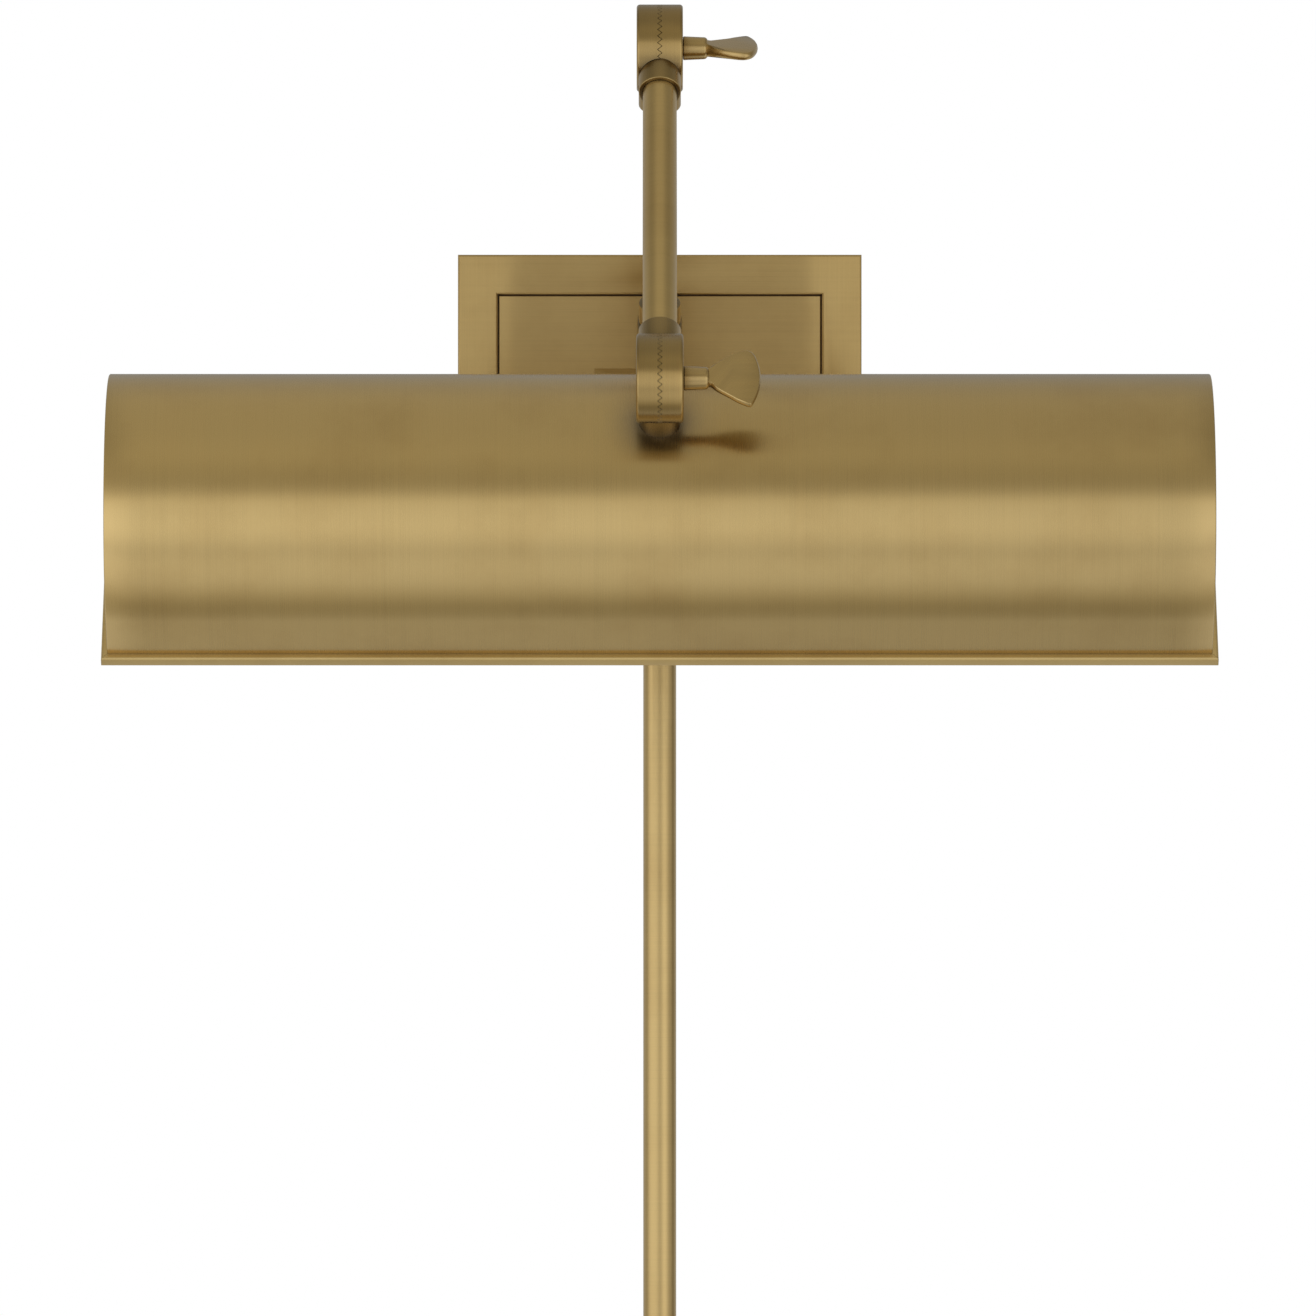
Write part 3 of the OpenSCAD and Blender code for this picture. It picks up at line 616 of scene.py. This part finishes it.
def grid(shape, rows, ring=False):
    """Quads between closed rows of points, and from the last row to the first if they form a ring."""
    made = [[shape.verts.new(point) for point in row] for row in rows]
    for a, b in zip(made, made[1:] + made[:1] if ring else made[1:]):
        for k in range(len(a)):
            n = (k + 1) % len(a)
            shape.faces.new((a[k], a[n], b[n], b[k]))
    return made


def capped(shape, rows):
    """Closed body over rows of points, with a face over the first row and the last."""
    made = grid(shape, rows)
    shape.faces.new(made[0])
    shape.faces.new(made[-1][::-1])


def lathe(name, profile, segments, place, ring=True):
    """Mesh of revolution about Z. profile is a loop of (radius, z) with a wall, or runs pole to pole."""
    rows = []
    for radius, z in profile:
        row = []
        for k in range(segments):
            angle = 2 * math.pi * k / segments
            height = z(angle) if callable(z) else z
            row.append(place @ Vector((radius * math.cos(angle), radius * math.sin(angle), height)))
        rows.append(row)
    shape = bmesh.new()
    grid(shape, rows, ring)
    return to_mesh(name, shape)


def cylinder(radius, low, high, segments, place):
    """Solid cylinder about Z, from low to high."""
    profile = [(0.0, low), (radius, low), (radius, high), (0.0, high)]
    return lathe("cylinder", profile, segments, place, ring=False)


def arc(cx, cy, radius, start, end, steps):
    """Points on an arc, angles in degrees."""
    angles = [math.radians(start + (end - start) * i / steps) for i in range(steps + 1)]
    return [(cx + radius * math.cos(a), cy + radius * math.sin(a)) for a in angles]


def bend(start, corner, end, steps):
    """Points between two ends on a curve that rounds the corner between them."""
    points = []
    for i in range(1, steps):
        t = i / steps
        x, y = (a * (1 - t) ** 2 + b * 2 * t * (1 - t) + c * t * t for a, b, c in zip(start, corner, end))
        points.append((x, y))
    return points


def joined(name, first, others, operation="UNION"):
    """Mesh of first with each other mesh added or cut away, exactly."""
    base = bpy.data.objects.new(name, first)
    scene.collection.objects.link(base)
    tools = []
    for mesh in others:
        tool = bpy.data.objects.new(name + "_tool", mesh)
        scene.collection.objects.link(tool)
        tools.append(tool)
        step = base.modifiers.new("join", "BOOLEAN")
        step.operation = operation
        step.solver = "EXACT"
        step.object = tool
    graph = bpy.context.evaluated_depsgraph_get()
    result = bpy.data.meshes.new_from_object(base.evaluated_get(graph))
    for item in [base, *tools]:
        bpy.data.objects.remove(item)
    smooth(result, 32)
    return result


def piece(name, mesh, body, finishes, node=None):
    """Object that rides on a body in its finishes, and stands for a CAD node where it names one."""
    made = bpy.data.objects.new(name, mesh)
    scene.collection.objects.link(made)
    mesh.materials.clear()
    for finish in finishes:
        mesh.materials.append(FINISHES[finish])
    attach(made, body)
    if node:
        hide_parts(node)


# ---- Tubes ----

def tube(node, body, start, turn, low, high, bore, finish):
    """Plain tube from low to high along a turned Z."""
    edge = TUBE_EDGE
    profile = [(bore, low + edge), (bore + edge, low), (TUBE_R - edge, low), (TUBE_R, low + edge)]
    profile += [(TUBE_R, high - edge), (TUBE_R - edge, high), (bore + edge, high), (bore, high - edge)]
    name = node + "_brushed"
    piece(name, lathe(name, profile, 96, at(start, turn)), body, [finish], node)


def build_tubes():
    """The two arms' tubes, from knuckle to knuckle, and the cord cover on the wall plate."""
    back = (ELBOW - WALL_PIVOT).length - TUBE_START
    front = (SHADE_PIVOT - ELBOW).length - TUBE_START
    tube("back_arm_tube", "back_arm", WALL_PIVOT, BACK_TURN, TUBE_START, back, TUBE_BORE, "tube_back")
    tube("front_arm_tube", "front_arm", ELBOW, FRONT_TURN, TUBE_START, front, TUBE_BORE, "tube_front")
    low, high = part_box("cord_cover_tube")
    foot = Vector((0, (low.y + high.y) / 2, low.z))
    tube("cord_cover_tube", "wall_plate", foot, 0.0, 0.0, high.z - low.z, ROD_BORE, "rod")


# ---- Knuckles ----

def tooth(angle):
    """Height of the toothed seam at an angle round a pivot, at the knuckle's rim."""
    phase = (angle * TEETH / (2 * math.pi)) % 1.0
    return TOOTH_DEPTH * (abs(2 * phase - 1) - 0.5)


def knuckle_disc(name, pivot, side, hole):
    """Half disc of a knuckle about X, with meshing teeth on its inner face.

    hole is "blind" for the pin's end, "headed" for the clamp screw's head, or "through".
    """
    def seam(radius, extra=0.0):
        share = radius / KNUCKLE_R
        return lambda angle: side * tooth(angle) * share + SEAM_GAP / 2 + extra

    outer = KNUCKLE_HALF_W
    lip = KNUCKLE_R - SEAM_CHAMFER
    profile = arc(KNUCKLE_R - KNUCKLE_EDGE, outer - KNUCKLE_EDGE, KNUCKLE_EDGE, 90, 0, 5)
    profile += [(KNUCKLE_R, seam(KNUCKLE_R, SEAM_CHAMFER)), (lip, seam(lip))]
    profile += [(TOOTH_INNER_R, seam(TOOTH_INNER_R)), (TOOTH_INNER_R, HUB_GAP)]
    profile += [(PIN_BORE + HUB_LAND, HUB_GAP), (PIN_BORE, HUB_GAP)]
    if hole == "blind":
        end = PIN_END + PIN_END_GAP
        profile = [(0.0, outer), *profile, (PIN_BORE, end), (0.0, end)]
    elif hole == "headed":
        seat = outer - CLAMP_HEAD_DEPTH
        profile = [(CLAMP_HEAD_R, outer), *profile, (PIN_BORE, seat), (CLAMP_HEAD_R, seat)]
    else:
        profile = [(PIN_BORE, outer), *profile]
    return lathe(name, profile, TEETH * 8, facing(pivot, side), ring=hole != "blind")


def knuckle_half(node, body, pivot, turn, side, hole="through", reach=COLLAR_REACH,
                 socket_r=TUBE_R + SOCKET_GAP, cuts=()):
    """Half of a knuckle: its toothed disc, and the collar that runs from it to a tube or a stub."""
    name = node + "_toothed"
    profile = [(0.0, COLLAR_START), (COLLAR_R, COLLAR_START)]
    profile += arc(COLLAR_R - COLLAR_EDGE, reach - COLLAR_EDGE, COLLAR_EDGE, 0, 90, 4)
    profile += [(socket_r + SOCKET_EDGE, reach), (socket_r, reach - SOCKET_EDGE)]
    profile += [(socket_r, TUBE_START), (0.0, TUBE_START)]
    collar = lathe(name, profile, 96, at(pivot, turn), ring=False)
    sweep = cylinder(KNUCKLE_R + SWEEP_GAP, SWEEP_START, CUT_DEPTH, 192, facing(pivot, -side))
    core = cylinder(CORE_R, CORE_START, CUT_DEPTH, 96, facing(pivot, side))
    collar = joined(name, collar, [sweep, core, *cuts], "DIFFERENCE")
    disc = knuckle_disc(name, pivot, side, hole)
    piece(name, joined(name, disc, [collar]), body, ["knuckle"], node)


def build_knuckles():
    """Six knuckle halves, two at each pivot."""
    knuckle_half("wall_knuckle", "wall_plate", WALL_PIVOT, WALL_TURN, -1, "blind", WALL_COLLAR_REACH, STUB_R)
    knuckle_half("back_arm_lower_knuckle", "back_arm", WALL_PIVOT, BACK_TURN, 1, "headed")
    knuckle_half("back_arm_upper_knuckle", "back_arm", ELBOW, BACK_TURN + math.pi, -1, "blind")
    knuckle_half("front_arm_upper_knuckle", "front_arm", ELBOW, FRONT_TURN, 1)
    knuckle_half("front_arm_lower_knuckle", "front_arm", SHADE_PIVOT, FRONT_TURN + math.pi, -1, "blind")
    crown_cut = cylinder(SHADE_R, -CUT_DEPTH, CUT_DEPTH, 256, facing(SHADE_MID, 1))
    knuckle_half("shade_knuckle", "shade", SHADE_PIVOT, SHADE_TURN + math.pi, 1, "through",
                 SHADE_COLLAR_REACH, STUB_R, [crown_cut])


# ---- Wing screws ----

def wing_outline(root, tip):
    """Loop round the paddle, with one full shoulder, one straight one and a rounded tip, in (x, z)."""
    full = [(root + x, w) for x, w in FULL_FLANK]
    straight = [(root + x, -w) for x, w in STRAIGHT_FLANK]
    end = arc(tip - WING_ARC, 0.0, WING_ARC, -31, 24, 14)
    corner_x = tip - WING_ARC + math.sqrt(WING_ARC ** 2 - WING_HALF_W ** 2)
    straight_corner = (corner_x - STRAIGHT_CORNER_IN, -STRAIGHT_CORNER)
    outline = straight + bend(straight[-1], straight_corner, end[0], 5) + end
    return outline + bend(end[-1], (corner_x, WING_HALF_W), full[-1], 8) + full[::-1]


def wing_screw(body, pivot, turn):
    """Wing screw along X: its pin and neck turned in one, and a paddle with rounded edges."""
    name = body + "_screw_cast"
    head = KNUCKLE_HALF_W + NECK_GAP
    root = KNUCKLE_HALF_W + NECK_L
    profile = [(0.0, -PIN_END), (PIN_R - PIN_EDGE, -PIN_END), (PIN_R, PIN_EDGE - PIN_END), (PIN_R, head)]
    profile += arc(NECK_R - NECK_EDGE, head + NECK_EDGE, NECK_EDGE, -90, 0, 3)
    profile += arc(NECK_TIP_R - NECK_TIP_ROUND, root - NECK_TIP_ROUND, NECK_TIP_ROUND, 0, 80, 6)
    profile += [(0.0, root + NECK_DOME)]
    turned = lathe(name, profile, 64, facing((0, 0, 0), 1), ring=False)
    outline = wing_outline(root, root + WING_L)
    centre = root + WING_MIDDLE
    rows = []
    for angle in (90, 60, 30, 0, -30, -60, -90):
        level = math.sin(math.radians(angle))
        share = 1 - WING_ROUND * (1 - math.cos(math.radians(angle)))
        row = []
        for x, w in outline:
            near_root = max(0.0, 1 - (x - root - FULL_FLANK[0][0]) / WING_ROOT_L)
            thick = WING_T / 2 + WING_ROOT_T * near_root
            row.append(Vector((centre + (x - centre) * share, -level * thick, w * share)))
        rows.append(row)
    shape = bmesh.new()
    capped(shape, rows)
    mesh = joined(name, turned, [to_mesh(name, shape)])
    mesh.transform(at(pivot, turn))
    piece(name, mesh, body, ["wing"], body + "_screw")


def build_wings():
    """The elbow's wing screw and the shade's."""
    wing_screw("elbow_wing", ELBOW, math.radians(ELBOW_WING_DEG))
    wing_screw("shade_wing", SHADE_PIVOT, math.radians(SHADE_WING_DEG))


# ---- Shade ----

def trough_line(radius):
    """Section of the shade from the front skirt's foot over the crown to the back one, in (y, z)."""
    skirt = [(-radius, -SKIRT_H), (-radius, -SKIRT_H * 0.5)]
    return skirt + arc(0, 0, radius, 180, 0, 120) + [(-y, z) for y, z in reversed(skirt)]


def build_shell():
    """Rolled sheet of the shade, with its outer edge rounded at both ends."""
    edge = SHELL_EDGE
    end = [(-SHADE_HALF_L, edge), (-SHADE_HALF_L + edge * 0.4, edge * 0.35), (-SHADE_HALF_L + edge, 0.0)]
    steps = 30
    span = (SHADE_HALF_L - edge) * 2
    stations = end + [(-SHADE_HALF_L + edge + span * i / steps, 0.0) for i in range(1, steps)]
    stations += [(-x, inset) for x, inset in reversed(end)]
    place = at(SHADE_MID, SHADE_TURN)
    inner = trough_line(SHADE_R - SHELL_T)[::-1]
    rows = []
    for x, inset in stations:
        rows.append([place @ Vector((x, y, z)) for y, z in trough_line(SHADE_R - inset) + inner])
    shape = bmesh.new()
    made = grid(shape, rows)
    for row in (made[0], made[-1]):
        for k in range(len(inner) - 1):
            shape.faces.new((row[k], row[k + 1], row[-2 - k], row[-1 - k]))
    piece("shade_shell_rolled", to_mesh("shade_shell_rolled", shape), "shade", ["shade"], "shade_shell")


def build_rim():
    """Four mitred bars round the mouth, each with rounded edges, and a fine gap at each mitre."""
    place = at(SHADE_MID, SHADE_TURN)
    out_x = SHADE_HALF_L + RIM_OUT
    out_y = SHADE_R + RIM_OUT
    wide_x = RIM_OUT + RIM_LAP_X
    wide_y = out_y - (SHADE_R - SHELL_T - RIM_LAP_Y)
    low = -SKIRT_H - RIM_T
    high = -SKIRT_H
    outer = arc(RIM_EDGE, low + RIM_EDGE, RIM_EDGE, 270, 180, 3)
    outer += arc(RIM_CROWN, high - RIM_CROWN, RIM_CROWN, 180, 90, 6)
    shape = bmesh.new()
    for sign, long_bar in ((1, True), (1, False), (-1, True), (-1, False)):
        wide, across = (wide_y, wide_x) if long_bar else (wide_x, wide_y)
        section = outer + [(wide, high), (wide, low + RIM_EDGE), (wide - RIM_EDGE, low)]
        rows = []
        for end in (-1, 1):
            row = []
            for inset, z in section:
                mitre = inset * across / wide
                if long_bar:
                    point = Vector((end * (out_x - mitre - MITRE_GAP), sign * (out_y - inset), z))
                else:
                    point = Vector((sign * (out_x - inset), end * (out_y - mitre - MITRE_GAP), z))
                row.append(place @ point)
            rows.append(row)
        capped(shape, rows)
    piece("rim_frame_mitred", to_mesh("rim_frame_mitred", shape), "shade", ["rim"], "rim_frame")


# ---- Wall plate ----

def build_lead_tails():
    """The two leads' last stretch, from where the CAD leads end down into the cord cover's nipple."""
    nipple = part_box("cord_cover_nipple")[1].z
    y = middle("cord_cover_nipple").y
    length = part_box("plate_leads")[0].z + LEAD_LAP - nipple + LEAD_INTO_NIPPLE
    tails = []
    for side in (-1, 1):
        foot = Vector((side * LEAD_OFF, y, nipple - LEAD_INTO_NIPPLE))
        tails.append(cylinder(LEAD_R, 0.0, length, 16, at(foot)))
    mesh = joined("plate_lead_tails", tails[0], tails[1:])
    piece("plate_lead_tails", mesh, "wall_plate", ["black_wire"])


def plate_cuts(half_w, half_h, panel):
    """What is cut out of the cover: the cord cover's slot, the holes in the panel, and the side screws'."""
    y = middle("cord_cover_nipple").y
    side = ROD_BORE
    slot = [(-side, SLOT_OUT), (-side, y - side + SLOT_CHAMFER), (SLOT_CHAMFER - side, y - side)]
    slot += [(-x, depth) for x, depth in reversed(slot)]
    shape = bmesh.new()
    capped(shape, [[(x, depth, z) for x, depth in slot] for z in (-half_h - PAST_EDGE, -half_h + SLOT_H)])
    cuts = [to_mesh("slot", shape)]
    screws = [(side * BLOCK_SCREW_X, BLOCK_SCREW_Z, BLOCK_SCREW_R) for side in (1, -1)]
    for x, z, radius in [(0, 0, ARM_WAY_R), *screws]:
        cuts.append(cylinder(radius, -HOLE_D, HOLE_D, 48, at((x, panel, z), math.radians(90))))
    reach = half_w + PAST_EDGE
    along_x = Matrix.Translation((0, COVER_SCREW_Y, 0)) @ Matrix.Rotation(math.radians(90), 4, "Y")
    cuts.append(cylinder(COVER_SCREW_R, -reach, reach, 32, along_x))
    return cuts


def build_plate():
    """Cover with a raised border, mitred corners, a rounded inner edge and a fine groove."""
    low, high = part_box("backplate_cover")
    half_w = high.x
    half_h = high.z
    front = low.y
    panel = front + RECESS_D
    inner = BORDER_W - GROOVE_IN
    edge = BORDER_EDGE
    profile = [(PLATE_WALL, -POCKET_D), (PLATE_WALL, 0.0), (0.0, 0.0)]
    profile += arc(edge, front + edge, edge, 180, 270, 5)
    profile += arc(inner - edge, front + edge, edge, -90, 0, 6)
    profile += [(inner, panel + GROOVE_D), (inner + GROOVE_W, panel + GROOVE_D)]
    profile += [(inner + GROOVE_W, panel + GROOVE_EDGE), (inner + GROOVE_W + GROOVE_EDGE, panel)]
    rows = []
    for inset, y in profile:
        x = half_w - inset
        z = half_h - inset
        rows.append([(-x, y, -z), (x, y, -z), (x, y, z), (-x, y, z)])
    shape = bmesh.new()
    capped(shape, rows)
    name = "backplate_cover_cast"
    mesh = joined(name, to_mesh(name, shape), plate_cuts(half_w, half_h, panel), "DIFFERENCE")
    piece(name, mesh, "wall_plate", ["plate", "groove"], "backplate_cover")
    # The groove's own faces, behind the panel, take the dark finish.
    slack = 0.00005
    for face in mesh.polygons:
        inset = min(half_w - abs(face.center.x), half_h - abs(face.center.z))
        if inner - slack < inset < inner + GROOVE_W + slack and face.center.y > panel + slack:
            face.material_index = 1


# ---- CAD nodes that keep their shape ----

# Nodes that keep their CAD shape, under the finish they take
KEPT = {
    "block": ["arm_block"],
    "shade": ["end_cap_left", "end_cap_right"],
    "turned": ["wall_clamp_screw", "cover_screws", "cord_cover_nipple", "cord_cover_locknut",
               "cord_cover_bush", "shade_nipple", "lamp_base_left", "lamp_base_right",
               "socket_shell_left", "socket_shell_right"],
    "steel": ["mounting_bracket", "block_screws", "shade_saddle", "shade_locknut", "socket_bracket",
              "socket_screws"],
    "green": ["ground_screw"],
    "connector": ["wire_connectors"],
    "black_wire": ["plate_leads", "back_arm_leads", "front_arm_leads"],
    "white_wire": ["socket_leads"],
    "enamel": ["shade_reflector"],
    "porcelain": ["lamp_socket_left", "lamp_socket_right"],
    "glass": ["lamp_glass_left", "lamp_glass_right"],
}

# Width of the bevel on those whose bare edges are in view
BEVELLED = {"arm_block": 0.0004, "cord_cover_locknut": 0.0002, "shade_locknut": 0.0002}


def dress_cad_nodes():
    """Own finishes on the CAD nodes that no detailed piece stands for, and a fine bevel on some."""
    for finish, names in KEPT.items():
        for name in names:
            node = frame["nodes"][name]
            if not node.material_slots:
                node.data.materials.append(FINISHES[finish])
            for slot in node.material_slots:
                slot.material = FINISHES[finish]
            if name in BEVELLED:
                weld = node.modifiers.new("weld", "WELD")
                weld.merge_threshold = 0.00001
                bevel = node.modifiers.new("bevel", "BEVEL")
                bevel.width = BEVELLED[name]
                bevel.segments = 3
                bevel.limit_method = "ANGLE"
                bevel.angle_limit = math.radians(40)
                bevel.harden_normals = True


build_camera()
build_world()
build_floor()
build_tubes()
build_knuckles()
build_wings()
build_shell()
build_rim()
build_plate()
build_lead_tails()
dress_cad_nodes()
scene.view_settings.view_transform = "Standard"
